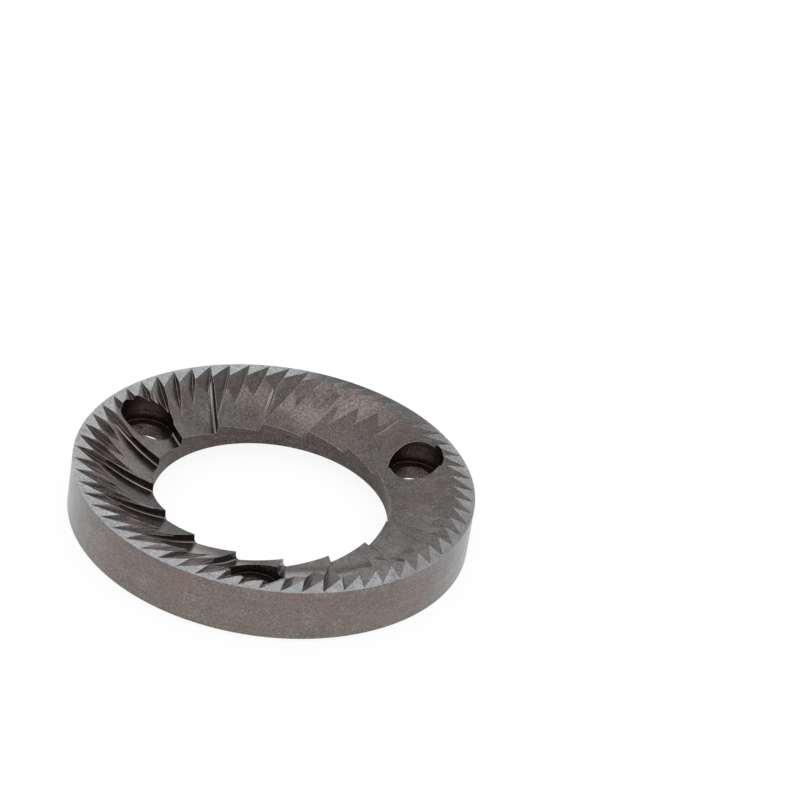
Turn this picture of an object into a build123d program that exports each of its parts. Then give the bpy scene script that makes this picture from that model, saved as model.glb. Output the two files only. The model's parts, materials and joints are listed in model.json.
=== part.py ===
from build123d import *
from math import acos, asin, cos, degrees, pi, radians, sin, sqrt, tan
import os

# Flat grinding burr of a coffee grinder: one ring of hardened steel with two sets of ground teeth.
# Millimetres and degrees. The origin is on the ring's axis, in the plane of the seat on its back,
# and the teeth point towards +Z. Angles about the axis run counter-clockwise from +X.

# Ring blank
outer_diameter = 64.0
overall_height = 9.2
bore_diameter = 37.8

# Back of the ring: a narrow ground seat between an outer chamfer and a shallow recess
seat_width = 1.75
seat_chamfer_width = 0.9
seat_chamfer_height = 0.6
recess_depth = 2.3
recess_corner_chamfer = 0.5

# Screw holes, counterbored from the toothed side, just inside the middle of the ring's width
screw_count = 3
first_screw_angle = 28.5
screw_circle_inset = 0.15
screw_hole_diameter = 5.7
screw_head_bore_diameter = 8.7
screw_seat_thickness = 2.2

# Fine teeth, which finish the grind: each groove starts as a point at the rim and falls inwards,
# along the arc of the grinding wheel that cuts it
fine_tooth_count = 60
first_fine_angle = 0.0
fine_rim_land = 0.2
fine_slant = 21.0
fine_tip_slope = 16.6
fine_wheel_radius = 91.0
fine_face_lean = 22.5
fine_back_slope = 27.0

# Coarse teeth, which break the beans: each groove starts at the bore and climbs outwards, along the
# arc of a smaller wheel, until it runs out among the fine teeth
coarse_tooth_count = 16
first_coarse_angle = 10.4
coarse_web_at_bore = 2.4
coarse_slant = 21.5
coarse_bore_slope = 10.5
coarse_wheel_radius = 26.2
coarse_face_lean = 9.0
coarse_back_slope = 17.5
coarse_root_radius = 0.5

# Room by which a cutter passes the metal it takes away
cutter_clearance = 1.0
cutter_overlap = 0.3

outer_radius = outer_diameter / 2
bore_radius = bore_diameter / 2
seat_outer_radius = outer_radius - seat_chamfer_width
seat_inner_radius = seat_outer_radius - seat_width
screw_circle_radius = (outer_radius + bore_radius) / 2 - screw_circle_inset
screw_seat_height = recess_depth + screw_seat_thickness
fine_tip_radius = outer_radius - fine_rim_land
fine_pitch_at_rim = 2 * pi * outer_radius / fine_tooth_count
coarse_pitch_angle = 360 / coarse_tooth_count
coarse_pitch_at_rim = 2 * pi * outer_radius / coarse_tooth_count
coarse_root_height = recess_depth + coarse_web_at_bore


def ring_blank():
    """Turned blank: the half section of the ring, revolved about its axis."""
    section = make_face(
        Polyline(
            (bore_radius, recess_depth),
            (bore_radius, overall_height),
            (outer_radius, overall_height),
            (outer_radius, seat_chamfer_height),
            (seat_outer_radius, 0),
            (seat_inner_radius, 0),
            (seat_inner_radius, recess_depth),
            close=True,
        )
    )
    corner = section.vertices().sort_by_distance((seat_inner_radius, recess_depth))[0]
    return revolve(Plane.XZ * chamfer(corner, recess_corner_chamfer), Axis.Z)


def groove_run(inner_radius, outer_radius, slanted_radius, slant):
    """Length, from above, of a groove between two radii that is slanted at slanted_radius."""
    offset = slanted_radius * sin(radians(slant))
    return sqrt(outer_radius**2 - offset**2) - sqrt(inner_radius**2 - offset**2)


def groove_plane(radius, height, slant):
    """Upright plane across a groove: X towards the tooth back, Y up, Z outwards along the groove."""
    outwards = (cos(radians(slant)), -sin(radians(slant)), 0)
    across = (sin(radians(slant)), cos(radians(slant)), 0)
    return Plane(origin=(radius, 0, height), x_dir=across, z_dir=outwards)


def saw_profile(face_lean, back_slope, width, height):
    """Saw-tooth section with its root at the origin: a steep face on one side, a tooth back on the other."""
    return make_face(
        Polyline(
            (0, 0),
            (width, width * tan(radians(back_slope))),
            (width, height),
            (-height * tan(radians(face_lean)), height),
            close=True,
        )
    )


def groove_cutter(plane, profile, root_slope, wheel_radius, reach_in):
    """Revolves a section about the level axle of the wheel that cuts the groove.

    The root passes through the plane's origin, where it rises outwards at root_slope.
    The cut starts reach_in before the origin and ends where the root has left the blank's top.
    """
    slope = radians(root_slope)
    hub = plane.origin + (plane.y_dir * cos(slope) - plane.z_dir * sin(slope)) * wheel_radius
    axle = Axis(hub, plane.x_dir * -1)
    start_turn = degrees(asin(sin(slope) - reach_in / wheel_radius))
    end_turn = degrees(acos((hub.Z - overall_height - cutter_clearance) / wheel_radius))
    lowest = Plane(origin=hub - plane.y_dir * wheel_radius, x_dir=plane.x_dir, z_dir=plane.z_dir)
    start = (lowest * profile).rotate(axle, start_turn)
    return revolve(start, axle, end_turn - start_turn)


def fine_cutter():
    """The groove between two fine teeth, from its point at the rim in to the bore."""
    run = groove_run(bore_radius, fine_tip_radius, fine_tip_radius, fine_slant)
    depth = run * tan(radians(fine_tip_slope))
    width = fine_pitch_at_rim + cutter_clearance
    profile = saw_profile(fine_face_lean, fine_back_slope, width, depth + cutter_clearance)
    plane = groove_plane(fine_tip_radius, overall_height, fine_slant)
    return groove_cutter(plane, profile, fine_tip_slope, fine_wheel_radius, run + fine_pitch_at_rim)


def coarse_cutter():
    """The groove between two coarse teeth, from the bore out to its end among the fine teeth."""
    height = overall_height - recess_depth
    profile = saw_profile(coarse_face_lean, coarse_back_slope, coarse_pitch_at_rim, height)
    root = profile.vertices().sort_by_distance((0, 0))[0]
    profile = fillet(root, coarse_root_radius)
    plane = groove_plane(bore_radius, coarse_root_height, coarse_slant)
    cutter = groove_cutter(plane, profile, coarse_bore_slope, coarse_wheel_radius, coarse_pitch_at_rim / 2)
    # The tooth back stops at the root of the next groove, so that it does not clip the teeth beyond
    next_root = Plane(origin=plane.origin + plane.x_dir * cutter_overlap, x_dir=plane.z_dir, z_dir=plane.x_dir)
    next_root = Plane(Rot(0, 0, coarse_pitch_angle) * next_root.location)
    return split(cutter, bisect_by=next_root, keep=Keep.BOTTOM)


def screw_hole():
    """Through hole with a counterbore for the screw's head, open to the toothed side."""
    place = Pos(screw_circle_radius, 0, 0)
    hole = Cylinder(screw_hole_diameter / 2, overall_height, align=(Align.CENTER, Align.CENTER, Align.MIN))
    head_bore = Cylinder(
        screw_head_bore_diameter / 2,
        overall_height,
        align=(Align.CENTER, Align.CENTER, Align.MIN),
    )
    return place * (hole + Pos(0, 0, screw_seat_height) * head_bore)


def cut_round(body, cutter, count, first_angle):
    """Takes a cutter away from the body at equal steps round the axis."""
    for index in range(count):
        body -= Rot(0, 0, first_angle + index * 360 / count) * cutter
    return body


def grinding_burr():
    """The blank with the coarse teeth, the fine teeth and the screw holes cut into it, in that order."""
    burr = ring_blank()
    burr = cut_round(burr, coarse_cutter(), coarse_tooth_count, first_coarse_angle)
    burr = cut_round(burr, fine_cutter(), fine_tooth_count, first_fine_angle)
    return cut_round(burr, screw_hole(), screw_count, first_screw_angle)


os.makedirs("parts", exist_ok=True)
export_step(grinding_burr(), "parts/grinding_burr.step")
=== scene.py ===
"""Looks of a flat grinding burr: the finish of each kind of surface, the light, the floor and the camera."""
import json
import logging
import math
from dataclasses import dataclass, field
from enum import Enum, auto

import bpy
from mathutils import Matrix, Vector


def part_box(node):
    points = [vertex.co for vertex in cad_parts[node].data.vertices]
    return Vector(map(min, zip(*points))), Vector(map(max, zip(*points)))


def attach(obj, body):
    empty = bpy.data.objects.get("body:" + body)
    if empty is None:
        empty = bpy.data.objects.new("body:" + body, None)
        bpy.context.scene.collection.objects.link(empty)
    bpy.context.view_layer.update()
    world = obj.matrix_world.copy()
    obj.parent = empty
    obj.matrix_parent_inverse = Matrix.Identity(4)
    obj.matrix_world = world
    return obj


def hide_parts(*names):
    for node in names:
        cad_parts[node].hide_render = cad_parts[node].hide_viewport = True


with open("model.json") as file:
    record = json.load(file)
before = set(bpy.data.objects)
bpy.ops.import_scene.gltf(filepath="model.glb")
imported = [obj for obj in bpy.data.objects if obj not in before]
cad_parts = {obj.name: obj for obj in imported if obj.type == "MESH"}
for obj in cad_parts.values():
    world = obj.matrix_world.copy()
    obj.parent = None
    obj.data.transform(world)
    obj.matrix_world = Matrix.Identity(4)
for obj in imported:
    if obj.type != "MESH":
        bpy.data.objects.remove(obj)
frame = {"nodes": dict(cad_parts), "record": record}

LOG = logging.getLogger("grinding_burr")
MM = 0.001
FULL_TURN_DEG = 360
CAD_NODE = "grinding_burr"
Colour = tuple[float, float, float]
Place = tuple[float, float, float]
Range = tuple[float, float]
Socket = bpy.types.NodeSocket
Tree = bpy.types.NodeTree


class Zone(Enum):
    """Kinds of surface on the burr, each with its own finish."""

    LAND = auto()
    TOOTH_BACK = auto()
    CUTTING_FACE = auto()
    COARSE_FACE = auto()
    ROOT = auto()
    BORE = auto()
    RIM = auto()
    SEAT = auto()
    UNGROUND_BACK = auto()
    SCREW_BORE = auto()


class Marks(Enum):
    """Ways in which the marks of the tool run over a surface."""

    ROUND = "round_marks"
    LEVEL = "level_marks"
    ALONG_GROOVES = "groove_marks"
    STRAIGHT = "straight_marks"


class Bright(Enum):
    """Places where a finish is lightened: its edges, partly by wear and partly by a painted highlight, and
    the foot line of a root, by a painted highlight.
    """

    # Edges lightened partly by wear and partly by a painted highlight.
    WORN_EDGES = auto()
    # A painted highlight along the root's foot, where it would mirror the softbox.
    FOOT_LINE = auto()


def linked(tree: Tree, source: Socket | float | Colour | Vector, target: Socket) -> None:
    """Joins a socket to another one, or sets a plain value on it.

    Args:
        tree: The tree that holds both.
        source: A socket, or a plain number, colour or vector.
        target: The input that takes it.
    """
    if isinstance(source, Socket):
        tree.links.new(source, target)
    elif isinstance(source, tuple) and target.type == "RGBA":
        target.default_value = (*source, 1.0)
    else:
        target.default_value = source


def sums(tree: Tree, operation: str, *values: Socket | float) -> Socket:
    """Adds a Math node.

    Args:
        tree: The tree to add it to.
        operation: The node's operation.
        values: Its inputs, sockets or numbers.

    Returns:
        Its result.
    """
    node = tree.nodes.new("ShaderNodeMath")
    node.operation = operation
    for value, target in zip(values, node.inputs):
        linked(tree, value, target)
    return node.outputs[0]


def vector_of(tree: Tree, *values: Socket) -> Socket:
    """Joins numbers to a vector.

    Args:
        tree: The tree to add the node to.
        values: The vector's three numbers.

    Returns:
        The vector.
    """
    node = tree.nodes.new("ShaderNodeCombineXYZ")
    for value, target in zip(values, node.inputs):
        linked(tree, value, target)
    return node.outputs[0]


def parted(tree: Tree, vector: Socket) -> tuple[Socket, Socket, Socket]:
    """Parts a vector into its numbers.

    Args:
        tree: The tree to add the node to.
        vector: The vector.

    Returns:
        Its three numbers.
    """
    node = tree.nodes.new("ShaderNodeSeparateXYZ")
    linked(tree, vector, node.inputs[0])
    return node.outputs[0], node.outputs[1], node.outputs[2]


def radius_of(tree: Tree, x: Socket, y: Socket) -> Socket:
    """Gives a place's distance from the ring's axis."""
    return sums(tree, "SQRT", sums(tree, "MULTIPLY_ADD", x, x, sums(tree, "MULTIPLY", y, y)))


def on_circle(tree: Tree, angle: Socket, radius: Socket, height: Socket) -> Socket:
    """Gives a point of a level circle.

    Args:
        tree: The tree to add the nodes to.
        angle: The point's angle round the circle.
        radius: The circle's radius.
        height: The circle's height.

    Returns:
        The point, as a vector.
    """
    x = sums(tree, "MULTIPLY", sums(tree, "COSINE", angle), radius)
    y = sums(tree, "MULTIPLY", sums(tree, "SINE", angle), radius)
    return vector_of(tree, x, y, height)


def likeness(tree: Tree, first: Socket, second: Socket | Vector) -> Socket:
    """Adds the dot product of two directions, which is 1 where they are the same.

    Args:
        tree: The tree to add the node to.
        first: A direction.
        second: Another direction, a socket or a plain vector.

    Returns:
        The dot product.
    """
    node = tree.nodes.new("ShaderNodeVectorMath")
    node.operation = "DOT_PRODUCT"
    linked(tree, first, node.inputs[0])
    linked(tree, second, node.inputs[1])
    return node.outputs["Value"]


def in_steps(tree: Tree, vector: Socket, step_mm: Socket) -> Socket:
    """Measures a place in steps.

    Args:
        tree: The tree to add the nodes to.
        vector: The place, in metres.
        step_mm: Length of a step, in millimetres.

    Returns:
        The place, in steps.
    """
    node = tree.nodes.new("ShaderNodeVectorMath")
    node.operation = "SCALE"
    linked(tree, vector, node.inputs["Vector"])
    linked(tree, sums(tree, "DIVIDE", 1 / MM, step_mm), node.inputs["Scale"])
    return node.outputs["Vector"]


def noise(tree: Tree, vector: Socket, detail: float) -> Socket:
    """Adds a noise with one feature to each step of its vector.

    Args:
        tree: The tree to add the node to.
        vector: The place in the noise.
        detail: How many finer layers it has.

    Returns:
        The noise, about 0.5 on average.
    """
    node = tree.nodes.new("ShaderNodeTexNoise")
    node.inputs["Scale"].default_value = 1.0
    node.inputs["Detail"].default_value = detail
    linked(tree, vector, node.inputs["Vector"])
    return node.outputs["Fac"]


def crystals(tree: Tree, vector: Socket) -> Socket:
    """Adds a cell pattern with one cell to each step of its vector.

    Args:
        tree: The tree to add the nodes to.
        vector: The place in the pattern.

    Returns:
        A value between 0 and 1 that each cell has for itself.
    """
    node = tree.nodes.new("ShaderNodeTexVoronoi")
    node.inputs["Scale"].default_value = 1.0
    linked(tree, vector, node.inputs["Vector"])
    shades = tree.nodes.new("ShaderNodeSeparateColor")
    linked(tree, node.outputs["Color"], shades.inputs[0])
    return shades.outputs[0]


def stretched(tree: Tree, value: Socket, low: Socket | float, high: Socket | float) -> Socket:
    """Stretches a value between two bounds.

    Args:
        tree: The tree to add the node to.
        value: The value.
        low: What becomes 0.
        high: What becomes 1.

    Returns:
        The stretched value, kept between 0 and 1.
    """
    node = tree.nodes.new("ShaderNodeMapRange")
    linked(tree, value, node.inputs["Value"])
    linked(tree, low, node.inputs["From Min"])
    linked(tree, high, node.inputs["From Max"])
    return node.outputs["Result"]


def mixed(tree: Tree, factor: Socket, first: Socket | Colour, second: Socket | Colour) -> Socket:
    """Mixes two colours.

    Args:
        tree: The tree to add the mix to.
        factor: 0 gives the first colour, 1 the second.
        first: A socket or a plain colour.
        second: A socket or a plain colour.

    Returns:
        The mixed colour.
    """
    node = tree.nodes.new("ShaderNodeMix")
    node.data_type = "RGBA"
    colours = [socket for socket in node.inputs if socket.type == "RGBA"]
    linked(tree, factor, node.inputs[0])
    linked(tree, first, colours[0])
    linked(tree, second, colours[1])
    return next(socket for socket in node.outputs if socket.type == "RGBA")


def new_material(name: str) -> tuple[bpy.types.Material, Tree, bpy.types.Node]:
    """Makes a node material.

    Args:
        name: Its name.

    Returns:
        The material, its tree and its Principled shader.
    """
    material = bpy.data.materials.new(name)
    material.use_nodes = True
    tree = material.node_tree
    return material, tree, tree.nodes["Principled BSDF"]


def new_plane(name: str, size: float = 1.0, place: Place = (0.0, 0.0, 0.0)) -> bpy.types.Object:
    """Adds a level square.

    Args:
        name: Its name.
        size: Length of its side, in metres.
        place: Its middle, in metres.

    Returns:
        The square.
    """
    bpy.ops.object.select_all(action="DESELECT")
    bpy.ops.mesh.primitive_plane_add(size=size, location=place)
    plane = bpy.context.object
    plane.name = name
    return plane


@dataclass
class Effect:
    """A shader node group with named sockets, made once and placed in each material that uses it."""

    name: str
    inputs: dict[str, str]
    outputs: dict[str, str]
    tree: Tree = field(init=False)
    given: bpy.types.Node = field(init=False)
    taken: bpy.types.Node = field(init=False)

    def __post_init__(self) -> None:
        """Makes the group's sockets and its two end nodes."""
        self.tree = bpy.data.node_groups.new(self.name, "ShaderNodeTree")
        for socket, kind in self.inputs.items():
            self.tree.interface.new_socket(socket, in_out="INPUT", socket_type=f"NodeSocket{kind}")
        for socket, kind in self.outputs.items():
            self.tree.interface.new_socket(socket, in_out="OUTPUT", socket_type=f"NodeSocket{kind}")
        self.given = self.tree.nodes.new("NodeGroupInput")
        self.taken = self.tree.nodes.new("NodeGroupOutput")

    def give(self, output: str, value: Socket) -> None:
        """Joins a value to one of the group's outputs."""
        linked(self.tree, value, self.taken.inputs[output])

    def placed(self, tree: Tree, **values: Socket | float | Colour) -> dict[str, Socket]:
        """Places the group in a material.

        Args:
            tree: The material's tree.
            values: A socket or a plain value for each input.

        Returns:
            The outputs by name.
        """
        node = tree.nodes.new("ShaderNodeGroup")
        node.node_tree = self.tree
        for name, value in values.items():
            linked(tree, value, node.inputs[name])
        return {name: node.outputs[name] for name in self.outputs}


@dataclass
class SteelEffects:
    """The effects that the finishes share. Each range gives what becomes 0 and what becomes 1."""

    fine_detail: float = 2.0
    mottle_detail: float = 3.0
    patch_detail: float = 5.0
    marks_detail: float = 3.0
    fine_share: float = 0.5
    crystal_share: float = 0.22
    mottle_share: float = 0.28
    crystal_height: float = 0.4
    tone_range: Range = (0.39, 0.61)
    speck_range: Range = (0.6, 1.0)
    patch_range: Range = (0.4, 0.66)
    marks_range: Range = (0.33, 0.67)
    edge_range: Range = (0.99, 0.85)
    edge_samples: int = 6
    ring_radius_mm: float = 26.0
    groove_offset_mm: float = 9.5
    straight_marks_deg: float = 38.0
    grain: Effect = field(init=False)
    tint: Effect = field(init=False)
    edges: Effect = field(init=False)
    foot: Effect = field(init=False)
    marks: dict[Marks, Effect] = field(init=False)

    def __post_init__(self) -> None:
        """Makes each effect once."""
        self.grain = self.steel_grain()
        self.tint = self.oxide_tint()
        self.edges = self.worn_edges()
        self.foot = self.foot_line()
        self.marks = {marks: self.tool_marks(marks) for marks in Marks}

    def steel_grain(self) -> Effect:
        """Makes the fine grain of hardened steel: crystals and noise over a slow mottle, and bright specks.

        Returns:
            The effect.
        """
        effect = Effect(
            "steel_grain",
            {"Place": "Vector", "Grain": "Float", "Mottle": "Float"},
            {"Tone": "Float", "Specks": "Float", "Height": "Float"},
        )
        tree, given = effect.tree, effect.given.outputs
        steps = in_steps(tree, given["Place"], given["Grain"])
        fine = noise(tree, steps, self.fine_detail)
        cell = crystals(tree, steps)
        mottle = noise(tree, in_steps(tree, given["Place"], given["Mottle"]), self.mottle_detail)
        cells = sums(tree, "MULTIPLY", cell, self.crystal_share)
        grain = sums(tree, "MULTIPLY_ADD", fine, self.fine_share, cells)
        total = sums(tree, "MULTIPLY_ADD", mottle, self.mottle_share, grain)
        effect.give("Tone", stretched(tree, total, *self.tone_range))
        effect.give("Specks", stretched(tree, cell, *self.speck_range))
        effect.give("Height", sums(tree, "MULTIPLY_ADD", cell, self.crystal_height, fine))
        return effect

    def oxide_tint(self) -> Effect:
        """Makes the soft patches of oxide left by hardening, over the colour of the steel.

        Returns:
            The effect.
        """
        effect = Effect(
            "oxide_tint",
            {"Place": "Vector", "Steel": "Color", "Oxide": "Color", "Amount": "Float", "Patch": "Float"},
            {"Colour": "Color"},
        )
        tree, given = effect.tree, effect.given.outputs
        cloud = noise(tree, in_steps(tree, given["Place"], given["Patch"]), self.patch_detail)
        share = sums(tree, "MULTIPLY", stretched(tree, cloud, *self.patch_range), given["Amount"])
        effect.give("Colour", mixed(tree, share, given["Steel"], given["Oxide"]))
        return effect

    def worn_edges(self) -> Effect:
        """Makes edges rounded by wear: the normals over the rounding, and a mask of where edges lie, inside
        corners too, for a lighter colour that is partly wear and partly a painted highlight.

        Returns:
            The effect.
        """
        effect = Effect("worn_edges", {"Radius": "Float"}, {"Mask": "Float", "Normal": "Vector"})
        tree, given = effect.tree, effect.given.outputs
        rounding = tree.nodes.new("ShaderNodeBevel")
        rounding.samples = self.edge_samples
        linked(tree, given["Radius"], rounding.inputs["Radius"])
        rounded = rounding.outputs["Normal"]
        flat = tree.nodes.new("ShaderNodeNewGeometry").outputs["Normal"]
        # The mask takes in outer edges and inside corners alike, for the lighter colour of wear and painted
        # highlight.
        effect.give("Mask", stretched(tree, likeness(tree, rounded, flat), *self.edge_range))
        effect.give("Normal", rounded)
        return effect

    def foot_line(self) -> Effect:
        """Makes a painted highlight along a rounded root: a bright line where its normal rises to a given
        height, the height at which the root would mirror the softbox.

        Returns:
            The effect.
        """
        effect = Effect("foot_line", {"Height": "Float", "Spread": "Float"}, {"Mask": "Float"})
        tree, given = effect.tree, effect.given.outputs
        _, _, rise = parted(tree, tree.nodes.new("ShaderNodeNewGeometry").outputs["Normal"])
        off = sums(tree, "ABSOLUTE", sums(tree, "SUBTRACT", rise, given["Height"]))
        # Bright where the normal's height is near the given one: a painted highlight.
        effect.give("Mask", stretched(tree, off, given["Spread"], 0.0))
        return effect

    def tool_marks(self, marks: Marks) -> Effect:
        """Makes the marks of a tool: a noise drawn out along the tool's path.

        Args:
            marks: The way in which the marks run.

        Returns:
            The effect.
        """
        effect = Effect(
            marks.value,
            {"Place": "Vector", "Spacing": "Float", "Length": "Float"},
            {"Marks": "Float"},
        )
        flows = {
            Marks.ROUND: self.round_flow,
            Marks.LEVEL: self.level_flow,
            Marks.ALONG_GROOVES: self.groove_flow,
            Marks.STRAIGHT: self.straight_flow,
        }
        tree, given = effect.tree, effect.given.outputs
        wide = sums(tree, "MULTIPLY", given["Spacing"], MM)
        long = sums(tree, "MULTIPLY", given["Length"], MM)
        flow = flows[marks](tree, given["Place"], wide, long)
        effect.give("Marks", stretched(tree, noise(tree, flow, self.marks_detail), *self.marks_range))
        return effect

    def round_flow(self, tree: Tree, place: Socket, wide: Socket, long: Socket) -> Socket:
        """Follows turning of a level face, round the ring's axis.

        Args:
            tree: The tree to add the nodes to.
            place: The place on the burr.
            wide: Distance between marks, in metres.
            long: Length of a mark, in metres.

        Returns:
            The place in the noise.
        """
        x, y, z = parted(tree, place)
        turn = sums(tree, "DIVIDE", self.ring_radius_mm * MM, long)
        across = sums(tree, "DIVIDE", sums(tree, "ADD", radius_of(tree, x, y), z), wide)
        return on_circle(tree, sums(tree, "ARCTAN2", y, x), turn, across)

    def level_flow(self, tree: Tree, place: Socket, wide: Socket, long: Socket) -> Socket:
        """Follows turning of an upright wall, level round it.

        Args:
            tree: The tree to add the nodes to.
            place: The place on the burr.
            wide: Distance between marks, in metres.
            long: Length of a mark, in metres.

        Returns:
            The place in the noise.
        """
        steps = zip(parted(tree, place), (long, long, wide))
        return vector_of(tree, *(sums(tree, "DIVIDE", way, step) for way, step in steps))

    def groove_flow(self, tree: Tree, place: Socket, wide: Socket, long: Socket) -> Socket:
        """Follows the grinding wheel, along the slanted grooves.

        Args:
            tree: The tree to add the nodes to.
            place: The place on the burr.
            wide: Distance between marks, in metres.
            long: Length of a mark, in metres.

        Returns:
            The place in the noise.
        """
        x, y, _ = parted(tree, place)
        radius = radius_of(tree, x, y)
        lead = sums(tree, "ARCSINE", sums(tree, "DIVIDE", self.groove_offset_mm * MM, radius))
        line = sums(tree, "SUBTRACT", sums(tree, "ARCTAN2", y, x), lead)
        across = sums(tree, "DIVIDE", self.ring_radius_mm * MM, wide)
        return on_circle(tree, line, across, sums(tree, "DIVIDE", radius, long))

    def straight_flow(self, tree: Tree, place: Socket, wide: Socket, long: Socket) -> Socket:
        """Follows surface grinding, straight across the ring.

        Args:
            tree: The tree to add the nodes to.
            place: The place on the burr.
            wide: Distance between marks, in metres.
            long: Length of a mark, in metres.

        Returns:
            The place in the noise.
        """
        turned = tree.nodes.new("ShaderNodeMapping")
        turned.inputs["Rotation"].default_value = (0.0, 0.0, math.radians(self.straight_marks_deg))
        linked(tree, place, turned.inputs["Vector"])
        steps = zip(parted(tree, turned.outputs["Vector"]), (long, wide, wide))
        return vector_of(tree, *(sums(tree, "DIVIDE", way, step) for way, step in steps))


@dataclass(frozen=True)
class SteelFinish:
    """How one kind of surface on the burr looks."""

    name: str
    dark: Colour
    light: Colour
    oxide: Colour
    oxide_amount: float
    roughness: float
    roughness_spread: float = 0.08
    speck: Colour = (0.5, 0.48, 0.47)
    speck_share: float = 0.16
    grain_mm: float = 0.16
    mottle_mm: float = 2.6
    patch_mm: float = 5.0
    marks: Marks = Marks.ALONG_GROOVES
    marks_share: float = 0.25
    marks_spacing_mm: float = 0.22
    marks_length_mm: float = 6.0
    bump: float = 0.2
    bump_depth_mm: float = 0.03
    edge_radius_mm: float = 0.1
    # The lighter colour: on edges partly wear and partly a painted highlight; on a root a painted highlight
    # along the foot line instead.
    bright: Bright = Bright.WORN_EDGES
    bright_colour: Colour = (0.42, 0.385, 0.375)
    bright_share: float = 0.6
    # Height of the normal where the painted foot highlight lies, and its spread about it.
    foot_height: float = 0.87
    foot_spread: float = 0.14
    coat: float = 0.0
    coat_roughness: float = 0.25
    grazing_tint: Colour = (1.0, 1.0, 1.0)

    def material(self, effects: SteelEffects) -> bpy.types.Material:
        """Builds the finish as a node material.

        Args:
            effects: The effects that the finishes share.

        Returns:
            The material.
        """
        material, tree, shader = new_material(self.name)
        place = tree.nodes.new("ShaderNodeTexCoord").outputs["Object"]
        grain = effects.grain.placed(tree, Place=place, Grain=self.grain_mm, Mottle=self.mottle_mm)
        marks = effects.marks[self.marks].placed(
            tree, Place=place, Spacing=self.marks_spacing_mm, Length=self.marks_length_mm
        )["Marks"]
        edges = effects.edges.placed(tree, Radius=self.edge_radius_mm * MM)
        # Where the colour is lightened: along a root's foot line a painted highlight, elsewhere the edges,
        # partly worn and partly a painted highlight.
        if self.bright is Bright.FOOT_LINE:
            wear_and_highlight_mask = effects.foot.placed(tree, Height=self.foot_height, Spread=self.foot_spread)["Mask"]
        else:
            wear_and_highlight_mask = edges["Mask"]

        own_share = sums(tree, "MULTIPLY", grain["Tone"], 1.0 - self.marks_share)
        tone = sums(tree, "MULTIPLY_ADD", marks, self.marks_share, own_share)
        steel = mixed(tree, tone, self.dark, self.light)
        tinted = effects.tint.placed(
            tree, Place=place, Steel=steel, Oxide=self.oxide, Amount=self.oxide_amount, Patch=self.patch_mm
        )["Colour"]
        grained = mixed(tree, sums(tree, "MULTIPLY", grain["Specks"], self.speck_share), tinted, self.speck)
        # Mixes in the lighter colour: a painted highlight, and on edges also wear.
        wear_and_highlight_share = sums(tree, "MULTIPLY", wear_and_highlight_mask, self.bright_share)
        linked(tree, mixed(tree, wear_and_highlight_share, grained, self.bright_colour), shader.inputs["Base Color"])

        roughest = self.roughness + self.roughness_spread / 2
        rough = sums(tree, "MULTIPLY_ADD", tone, -self.roughness_spread, roughest)
        linked(tree, rough, shader.inputs["Roughness"])
        bump = tree.nodes.new("ShaderNodeBump")
        relief = sums(tree, "MULTIPLY_ADD", marks, self.marks_share, grain["Height"])
        linked(tree, self.bump, bump.inputs["Strength"])
        linked(tree, self.bump_depth_mm * MM, bump.inputs["Distance"])
        linked(tree, relief, bump.inputs["Height"])
        linked(tree, edges["Normal"], bump.inputs["Normal"])
        linked(tree, bump.outputs["Normal"], shader.inputs["Normal"])

        linked(tree, 1.0, shader.inputs["Metallic"])
        linked(tree, self.grazing_tint, shader.inputs["Specular Tint"])
        linked(tree, self.coat, shader.inputs["Coat Weight"])
        linked(tree, self.coat_roughness, shader.inputs["Coat Roughness"])
        return material


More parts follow.
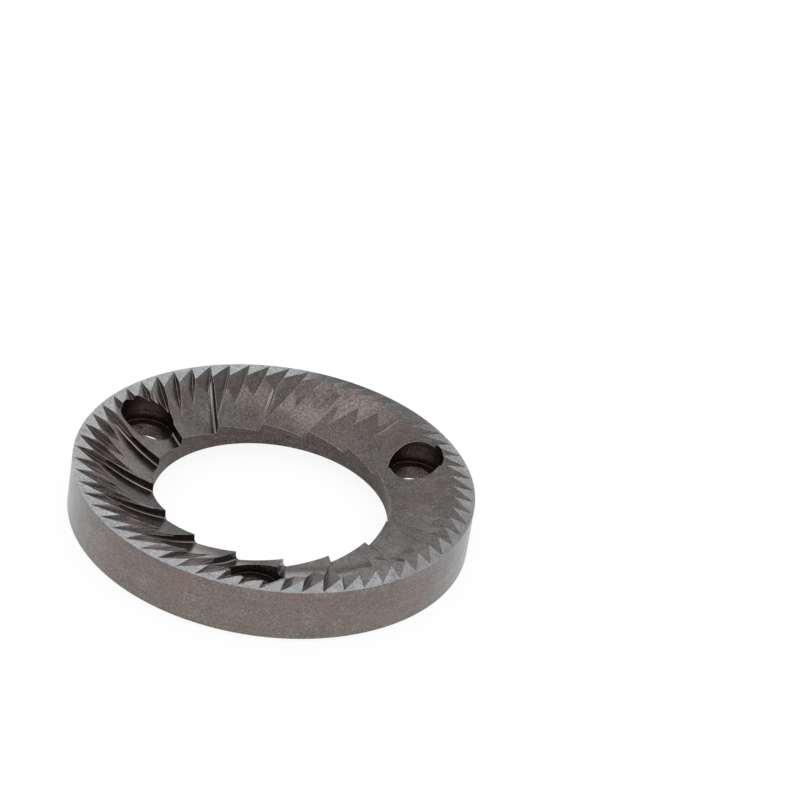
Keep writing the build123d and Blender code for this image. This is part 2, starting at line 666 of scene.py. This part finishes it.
FINISHES: dict[Zone, SteelFinish] = {
    Zone.LAND: SteelFinish(
        "ground_land",
        dark=(0.24, 0.241, 0.245),
        light=(0.70, 0.703, 0.712),
        oxide=(0.34, 0.332, 0.328),
        oxide_amount=0.45,
        roughness=0.34,
        speck=(0.85, 0.86, 0.9),
        marks=Marks.STRAIGHT,
        marks_share=0.35,
        bright_share=0.0,
    ),
    Zone.TOOTH_BACK: SteelFinish(
        "tooth_back",
        dark=(0.085, 0.078, 0.073),
        light=(0.235, 0.22, 0.208),
        oxide=(0.165, 0.125, 0.112),
        oxide_amount=0.55,
        roughness=0.24,
        marks_spacing_mm=0.45,
        marks_length_mm=7.0,
        bump=0.3,
        edge_radius_mm=0.14,
        # Much lighter edges: partly wear, partly a painted highlight along the crests.
        bright_colour=(0.62, 0.56, 0.54),
        bright_share=0.9,
    ),
    Zone.CUTTING_FACE: SteelFinish(
        "cutting_face",
        # Near black between lighter tool marks: the marks are the steel's own, the near black is painted
        # shade on the groove walls.
        dark=(0.004, 0.003, 0.003),
        light=(0.5, 0.435, 0.42),
        oxide=(0.06, 0.03, 0.025),
        oxide_amount=0.55,
        roughness=0.26,
        speck_share=0.05,
        marks_share=0.75,
        marks_spacing_mm=0.3,
        marks_length_mm=9.0,
        bump=0.3,
    ),
    Zone.COARSE_FACE: SteelFinish(
        "coarse_face",
        # Near-black colours: painted shade on the steep walls of the coarse grooves, under the steel's own
        # tool marks.
        dark=(0.008, 0.006, 0.006),
        light=(0.11, 0.088, 0.085),
        oxide=(0.05, 0.022, 0.019),
        oxide_amount=0.6,
        roughness=0.26,
        speck_share=0.05,
        marks_share=0.75,
        marks_spacing_mm=0.3,
        marks_length_mm=9.0,
        bump=0.3,
    ),
    Zone.ROOT: SteelFinish(
        "groove_root",
        # Near-black colours: painted shade in the hollow of the root.
        dark=(0.006, 0.005, 0.005),
        light=(0.04, 0.034, 0.032),
        oxide=(0.03, 0.018, 0.016),
        oxide_amount=0.5,
        roughness=0.14,
        speck_share=0.04,
        # Bright foot line: a painted highlight where the root would mirror the softbox.
        bright=Bright.FOOT_LINE,
        bright_colour=(0.4, 0.36, 0.345),
        bright_share=0.9,
    ),
    Zone.BORE: SteelFinish(
        "bore_wall",
        dark=(0.06, 0.05, 0.048),
        light=(0.16, 0.134, 0.13),
        oxide=(0.125, 0.092, 0.087),
        oxide_amount=0.6,
        roughness=0.58,
        marks=Marks.LEVEL,
        marks_share=0.4,
        marks_spacing_mm=0.6,
        marks_length_mm=30.0,
        edge_radius_mm=0.14,
        # Much lighter edges: partly wear, partly a painted highlight along the bore's crests.
        bright_colour=(0.62, 0.56, 0.54),
        bright_share=0.9,
    ),
    Zone.RIM: SteelFinish(
        "turned_rim",
        dark=(0.105, 0.092, 0.084),
        light=(0.235, 0.205, 0.188),
        oxide=(0.185, 0.128, 0.108),
        oxide_amount=0.75,
        roughness=0.34,
        patch_mm=4.0,
        marks=Marks.LEVEL,
        marks_share=0.3,
        marks_spacing_mm=0.7,
        marks_length_mm=30.0,
        bump=0.15,
        coat=0.45,
        grazing_tint=(0.9, 0.95, 1.0),
    ),
    Zone.SEAT: SteelFinish(
        "ground_seat",
        dark=(0.38, 0.38, 0.39),
        light=(0.62, 0.62, 0.63),
        oxide=(0.42, 0.40, 0.38),
        oxide_amount=0.25,
        roughness=0.3,
        marks=Marks.STRAIGHT,
        marks_share=0.6,
        bright_share=0.0,
    ),
    Zone.UNGROUND_BACK: SteelFinish(
        "unground_back",
        dark=(0.112, 0.098, 0.09),
        light=(0.185, 0.165, 0.153),
        oxide=(0.15, 0.118, 0.104),
        oxide_amount=0.6,
        roughness=0.5,
        grain_mm=0.2,
        marks=Marks.ROUND,
        marks_share=0.1,
        bump=0.5,
    ),
    Zone.SCREW_BORE: SteelFinish(
        "screw_bore",
        dark=(0.003, 0.0025, 0.0025),
        light=(0.17, 0.138, 0.126),
        oxide=(0.065, 0.04, 0.034),
        oxide_amount=0.6,
        roughness=0.4,
        speck_share=0.05,
        marks=Marks.LEVEL,
        marks_share=0.3,
        marks_spacing_mm=0.5,
        marks_length_mm=20.0,
    ),
}


@dataclass(frozen=True)
class Surface:
    """The surface that a face is part of, and how far off it the face lies, in millimetres."""

    zone: Zone
    off: float = 0.0
    normals: tuple[Vector, ...] = ()


@dataclass(frozen=True)
class GrooveSet:
    """One set of grooves, each cut by a wheel on a level axle. Millimetres and degrees."""

    count: int
    first_angle: float
    start_radius: float
    start_height: float
    slant: float
    slope: float
    wheel_radius: float
    face_lean: float
    back_slope: float
    root_radius: float
    face_zone: Zone
    fit: float = 0.03

    def start_angle(self, index: int) -> float:
        """Gives the angle at which a groove starts, in radians."""
        return math.radians(self.first_angle + index * FULL_TURN_DEG / self.count)

    def directions(self, index: int) -> tuple[Vector, Vector]:
        """Finds how a groove runs.

        Args:
            index: The groove.

        Returns:
            The directions along it, outwards, and across it, towards the tooth back.
        """
        heading = self.start_angle(index) - math.radians(self.slant)
        along = Vector((math.cos(heading), math.sin(heading), 0.0))
        return along, Vector((-along.y, along.x, 0.0))

    def hub(self, index: int) -> Vector:
        """Gives a point on the axle of the wheel, above the lowest point of the root.

        Args:
            index: The groove.

        Returns:
            The point, in millimetres.
        """
        angle, slope = self.start_angle(index), math.radians(self.slope)
        start = Vector((math.cos(angle), math.sin(angle), 0.0)) * self.start_radius
        along, _ = self.directions(index)
        rise = Vector((0.0, 0.0, self.start_height + self.wheel_radius * math.cos(slope)))
        return start - along * self.wheel_radius * math.sin(slope) + rise

    def nearest(self, place: Vector) -> int:
        """Finds the groove whose root lies next to a place, on the side of the cutting face.

        Args:
            place: The place, in millimetres.

        Returns:
            The groove's index.
        """
        offset = self.start_radius * math.sin(math.radians(self.slant))
        lead = math.asin(min(1.0, offset / math.hypot(place.x, place.y)))
        angle = math.degrees(math.atan2(place.y, place.x) - lead) + self.slant - self.first_angle
        return math.floor(angle * self.count / FULL_TURN_DEG)

    def section(self, place: Vector, index: int) -> tuple[float, float, Vector, Vector]:
        """Finds a place in the section of a groove.

        Args:
            place: The place, in millimetres.
            index: The groove.

        Returns:
            The distance across from the root, the height above it, and the directions of the two.
        """
        _, across = self.directions(index)
        away = place - self.hub(index)
        sideways = away.dot(across)
        spoke = away - across * sideways
        return sideways, self.wheel_radius - spoke.length, across, -spoke.normalized()

    def section_normal(self, flank: Zone, sideways: float, height: float) -> tuple[float, float, float]:
        """Measures a point of the section against a flank.

        Args:
            flank: The tooth back, the cutting face or the rounded root.
            sideways: Distance across from the root.
            height: Height above the root.

        Returns:
            The distance off the flank, and the parts across and up of the flank's normal there.
        """
        lean, back = math.radians(self.face_lean), math.radians(self.back_slope)
        if flank is Zone.ROOT:
            spread = math.cos(back - lean)
            across = self.root_radius * (math.cos(back) - math.sin(lean)) / spread - sideways
            up = self.root_radius * (math.sin(back) + math.cos(lean)) / spread - height
            length = math.hypot(across, up)
            return length - self.root_radius, across / length, up / length
        if flank is Zone.TOOTH_BACK:
            across, up = -math.sin(back), math.cos(back)
        else:
            across, up = math.cos(lean), math.sin(lean)
        return across * sideways + up * height, across, up

    def match(self, corners: list[Vector]) -> Surface:
        """Finds the flank of this set on which all corners of a face lie.

        Args:
            corners: The corners, in millimetres.

        Returns:
            The flank, with a normal for each corner, or a tooth back without normals where none fits.
        """
        best = Surface(Zone.TOOTH_BACK, self.fit)
        nearest = self.nearest(sum(corners, Vector()) / len(corners))
        flanks = [Zone.TOOTH_BACK, self.face_zone] + ([Zone.ROOT] if self.root_radius else [])
        for index in range(nearest - 1, nearest + 2):
            sections = [self.section(corner, index) for corner in corners]
            for flank in flanks:
                found = [self.section_normal(flank, sideways, height) for sideways, height, _, _ in sections]
                worst = max(abs(off) for off, _, _ in found)
                if worst < best.off:
                    normals = tuple(
                        across * sideways_way + up * up_way
                        for (_, across, up), (_, _, sideways_way, up_way) in zip(found, sections)
                    )
                    best = Surface(flank, worst, normals)
        return best


# Sixty fine grooves that start as points at the rim, and sixteen coarse ones that start at the bore.
GROOVE_SETS = (
    GrooveSet(
        count=60,
        first_angle=0.0,
        start_radius=31.8,
        start_height=9.2,
        slant=21.0,
        slope=16.6,
        wheel_radius=91.0,
        face_lean=22.5,
        back_slope=27.0,
        root_radius=0.0,
        face_zone=Zone.CUTTING_FACE,
    ),
    GrooveSet(
        count=16,
        first_angle=10.4,
        start_radius=18.9,
        start_height=4.7,
        slant=21.5,
        slope=10.5,
        wheel_radius=26.2,
        face_lean=9.0,
        back_slope=17.5,
        root_radius=0.5,
        face_zone=Zone.COARSE_FACE,
    ),
)


@dataclass
class GrindingBurr:
    """The toothed ring: a cleaned copy of the part's mesh, with a finish for each kind of surface."""

    node: bpy.types.Object
    merge_mm: float = 0.002
    flatness: float = 0.9995
    uprightness: float = 0.01
    facing: float = 0.97
    margin_mm: float = 0.05
    screw_bore_radius_mm: float = 4.35
    piece: bpy.types.Object = field(init=False)
    top: float = field(init=False)
    outer_radius: float = field(init=False)
    bore_radius: float = field(init=False)
    recess: float = field(init=False)
    holes: list[Vector] = field(init=False)

    def __post_init__(self) -> None:
        """Takes the levels and radii from the part and its record, in millimetres."""
        _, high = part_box(CAD_NODE)
        mounts = {mount["name"]: mount for mount in frame["record"]["mounts"]}
        self.top = high.z / MM
        self.outer_radius = high.x / MM
        self.bore_radius = mounts["bore"]["dims"]["r_mm"]
        self.recess = mounts["screw_holes"]["pos_m"][2] / MM
        self.holes = []
        for opening in frame["record"]["physics"]["openings"]:
            near, far = (Vector(corner) / MM for corner in opening["box_m"])
            middle = (near + far) / 2
            self.holes.append(Vector((middle.x, middle.y, 0.0)))

    def build(self) -> bpy.types.Object:
        """Copies the part's mesh, closes it and shades it smooth.

        Returns:
            The new piece.
        """
        bpy.ops.object.select_all(action="DESELECT")
        self.piece = bpy.data.objects.new("burr", self.node.data.copy())
        bpy.context.scene.collection.objects.link(self.piece)
        self.piece.select_set(True)
        bpy.context.view_layer.objects.active = self.piece
        bpy.ops.object.mode_set(mode="EDIT")
        bpy.ops.mesh.select_all(action="SELECT")
        bpy.ops.mesh.remove_doubles(threshold=self.merge_mm * MM)
        bpy.ops.object.mode_set(mode="OBJECT")
        bpy.ops.object.shade_smooth()
        return self.piece

    def hole_at(self, place: Vector) -> Vector:
        """Gives the centre of the screw hole nearest to a place."""
        return min(self.holes, key=lambda hole: (place - hole).xy.length)

    def in_screw_bore(self, normal: Vector, place: Vector) -> bool:
        """Tells whether a face is an upright wall or the level seat of a screw hole.

        Args:
            normal: The face's normal.
            place: The face's middle, in millimetres.

        Returns:
            Whether it is.
        """
        away = (place - self.hole_at(place)).xy
        if away.length > self.screw_bore_radius_mm + self.margin_mm:
            return False
        faces_centre = abs(normal.z) < self.uprightness and normal.xy.dot(away.normalized()) < -self.facing
        return normal.z > self.flatness or faces_centre

    def turned_zone(self, normal: Vector, place: Vector) -> Zone | None:
        """Tells which turned or level surface a face belongs to, by its place and normal.

        Args:
            normal: The face's normal.
            place: The face's middle, in millimetres.

        Returns:
            The kind of surface, or None for a flank of a tooth.
        """
        radius = math.hypot(place.x, place.y)
        upright = abs(normal.z) < self.uprightness
        if normal.z > self.flatness and place.z > self.top - self.margin_mm:
            return Zone.LAND
        if normal.z < -self.flatness and place.z < self.margin_mm:
            return Zone.SEAT
        if upright and radius > self.outer_radius - self.margin_mm:
            return Zone.RIM
        if upright and radius < self.bore_radius + self.margin_mm:
            return Zone.BORE
        if place.z < self.recess + self.margin_mm and normal.z < self.uprightness:
            return Zone.UNGROUND_BACK
        return Zone.SCREW_BORE if self.in_screw_bore(normal, place) else None

    def turned_normals(self, zone: Zone, normal: Vector, corners: list[Vector]) -> tuple[Vector, ...]:
        """Gives the normals of a face that is part of a surface of revolution.

        Args:
            zone: The kind of surface.
            normal: The face's normal.
            corners: Its corners, in millimetres.

        Returns:
            The surface's normal at each corner.
        """
        middle = sum(corners, Vector()) / len(corners)
        centre = self.hole_at(middle) if zone is Zone.SCREW_BORE else Vector()
        outwards = normal.xy.dot((middle - centre).xy.normalized())
        spokes = [(corner - centre).xy.normalized() * outwards for corner in corners]
        return tuple(Vector((spoke.x, spoke.y, normal.z)).normalized() for spoke in spokes)

    def surface_of(self, face: bpy.types.MeshPolygon) -> Surface:
        """Finds the surface that a face is part of.

        Args:
            face: The face.

        Returns:
            The surface, with a normal for each corner.
        """
        corners = [self.piece.data.vertices[index].co / MM for index in face.vertices]
        zone = self.turned_zone(face.normal, face.center / MM)
        if zone:
            return Surface(zone, normals=self.turned_normals(zone, face.normal, corners))
        return min((grooves.match(corners) for grooves in GROOVE_SETS), key=lambda surface: surface.off)

    def dress(self) -> None:
        """Gives each face the material of its kind of surface and the normals of the true surface."""
        effects = SteelEffects()
        zones = list(FINISHES)
        mesh = self.piece.data
        mesh.materials.clear()
        for zone in zones:
            mesh.materials.append(FINISHES[zone].material(effects))
        normals = [Vector()] * len(mesh.loops)
        for face in mesh.polygons:
            surface = self.surface_of(face)
            face.material_index = zones.index(surface.zone)
            for loop, normal in zip(face.loop_indices, surface.normals):
                normals[loop] = normal
        mesh.normals_split_custom_set(normals)


@dataclass(frozen=True)
class DarkCard:
    """An upright card behind the ring, which shows only as a soft reflection in the steel. Metres."""

    name: str
    place: Place
    width: float
    height: float
    colour: Colour = (0.36, 0.34, 0.335)
    roughness: float = 0.9
    tilt_deg: float = 90.0

    def build(self) -> None:
        """Adds the card, unseen by the camera and without a shadow."""
        card = new_plane(self.name, place=self.place)
        card.scale = (self.width, self.height, 1.0)
        card.rotation_euler = (math.radians(self.tilt_deg), 0.0, 0.0)
        card.visible_camera = False
        card.visible_diffuse = False
        card.visible_shadow = False
        material, tree, shader = new_material(self.name)
        linked(tree, self.colour, shader.inputs["Base Color"])
        linked(tree, self.roughness, shader.inputs["Roughness"])
        card.data.materials.append(material)
        LOG.info("%s: unseen, %.3f by %.3f m", card.name, self.width, self.height)


CARDS = (
    DarkCard("low_card", place=(0.0155, 0.045, 0.022), width=0.024, height=0.022),
    DarkCard("high_card", place=(0.0365, 0.045, 0.049), width=0.023, height=0.02, colour=(0.1, 0.095, 0.095)),
)


@dataclass
class Studio:
    """White floor and a pale surrounding, with a softbox high up on the right."""

    floor_size: float = 6.0
    floor_colour: Colour = (0.13, 0.13, 0.13)
    floor_roughness: float = 0.9
    floor_glow: float = 0.9
    backdrop: Colour = (1.0, 1.0, 1.0)
    horizon: Colour = (0.95, 0.97, 1.0)
    zenith: Colour = (0.68, 0.68, 0.68)
    sky_range: Range = (0.2, 1.0)
    softbox: Colour = (1.9, 1.7, 1.64)
    softbox_azimuth_deg: float = 21.0
    softbox_height_deg: float = 77.0
    softbox_inner_deg: float = 3.0
    softbox_outer_deg: float = 14.0

    def build(self) -> None:
        """Adds the floor, the cards and the surrounding."""
        self.add_floor()
        for card in CARDS:
            card.build()
        self.add_world()

    def add_floor(self) -> None:
        """Adds the floor: white from above and in reflections, with the shadow, and unseen from below."""
        floor = new_plane("floor", self.floor_size)
        material, tree, shader = new_material("white_floor")
        linked(tree, self.floor_colour, shader.inputs["Base Color"])
        linked(tree, self.floor_roughness, shader.inputs["Roughness"])
        linked(tree, self.backdrop, shader.inputs["Emission Color"])
        under = tree.nodes.new("ShaderNodeNewGeometry").outputs["Backfacing"]
        linked(tree, sums(tree, "SUBTRACT", 1.0, under), shader.inputs["Alpha"])
        path = tree.nodes.new("ShaderNodeLightPath").outputs
        seen = sums(tree, "ADD", path["Is Camera Ray"], path["Is Glossy Ray"])
        linked(tree, sums(tree, "MULTIPLY", seen, self.floor_glow), shader.inputs["Emission Strength"])
        floor.data.materials.append(material)
        LOG.info("%s: %.1f m wide", floor.name, self.floor_size)

    def softbox_direction(self) -> Vector:
        """Finds where the softbox is.

        Returns:
            The direction towards it.
        """
        azimuth = math.radians(self.softbox_azimuth_deg)
        height = math.radians(self.softbox_height_deg)
        level = math.cos(height)
        return Vector((level * math.cos(azimuth), level * math.sin(azimuth), math.sin(height)))

    def add_world(self) -> None:
        """Sets the pale surrounding, which is plain white where the camera looks straight at it."""
        world = bpy.data.worlds.new("surrounding")
        world.use_nodes = True
        tree = world.node_tree
        direction = tree.nodes.new("ShaderNodeTexCoord").outputs["Generated"]
        _, _, height = parted(tree, direction)
        sky = mixed(tree, stretched(tree, height, *self.sky_range), self.horizon, self.zenith)
        towards = likeness(tree, direction, self.softbox_direction())
        outer = math.cos(math.radians(self.softbox_outer_deg))
        inner = math.cos(math.radians(self.softbox_inner_deg))
        light = mixed(tree, stretched(tree, towards, outer, inner), sky, self.softbox)
        seen = tree.nodes.new("ShaderNodeLightPath").outputs["Is Camera Ray"]
        linked(tree, mixed(tree, seen, light, self.backdrop), tree.nodes["Background"].inputs["Color"])
        bpy.context.scene.world = world


@dataclass
class PhotoCamera:
    """The camera at the photograph's place, as fitted to the edges of the ring. Metres."""

    place: Place = (0.0, -0.50093, 0.34003)
    turn_deg: tuple[float, float, float] = (57.599, -7.934, 2.9925)
    lens_mm: float = 171.0
    sensor_mm: float = 36.0
    nearest: float = 0.01

    def build(self) -> None:
        """Adds the camera and makes it the scene's."""
        data = bpy.data.cameras.new("photo_camera")
        data.lens = self.lens_mm
        data.sensor_width = self.sensor_mm
        data.clip_start = self.nearest
        camera = bpy.data.objects.new("photo_camera", data)
        bpy.context.scene.collection.objects.link(camera)
        camera.location = self.place
        camera.rotation_euler = [math.radians(angle) for angle in self.turn_deg]
        bpy.context.scene.camera = camera
        LOG.info("%s: %.0f mm lens", camera.name, self.lens_mm)


def main() -> None:
    """Builds the burr, the studio and the camera."""
    logging.basicConfig(level=logging.INFO)
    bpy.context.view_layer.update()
    burr = GrindingBurr(frame["nodes"][CAD_NODE])
    piece = burr.build()
    burr.dress()
    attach(piece, "root")
    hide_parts(CAD_NODE)
    LOG.info("%s: %d faces", piece.name, len(piece.data.polygons))
    Studio().build()
    PhotoCamera().build()
    bpy.context.scene.view_settings.view_transform = "Standard"


if __name__ == "__main__":
    main()
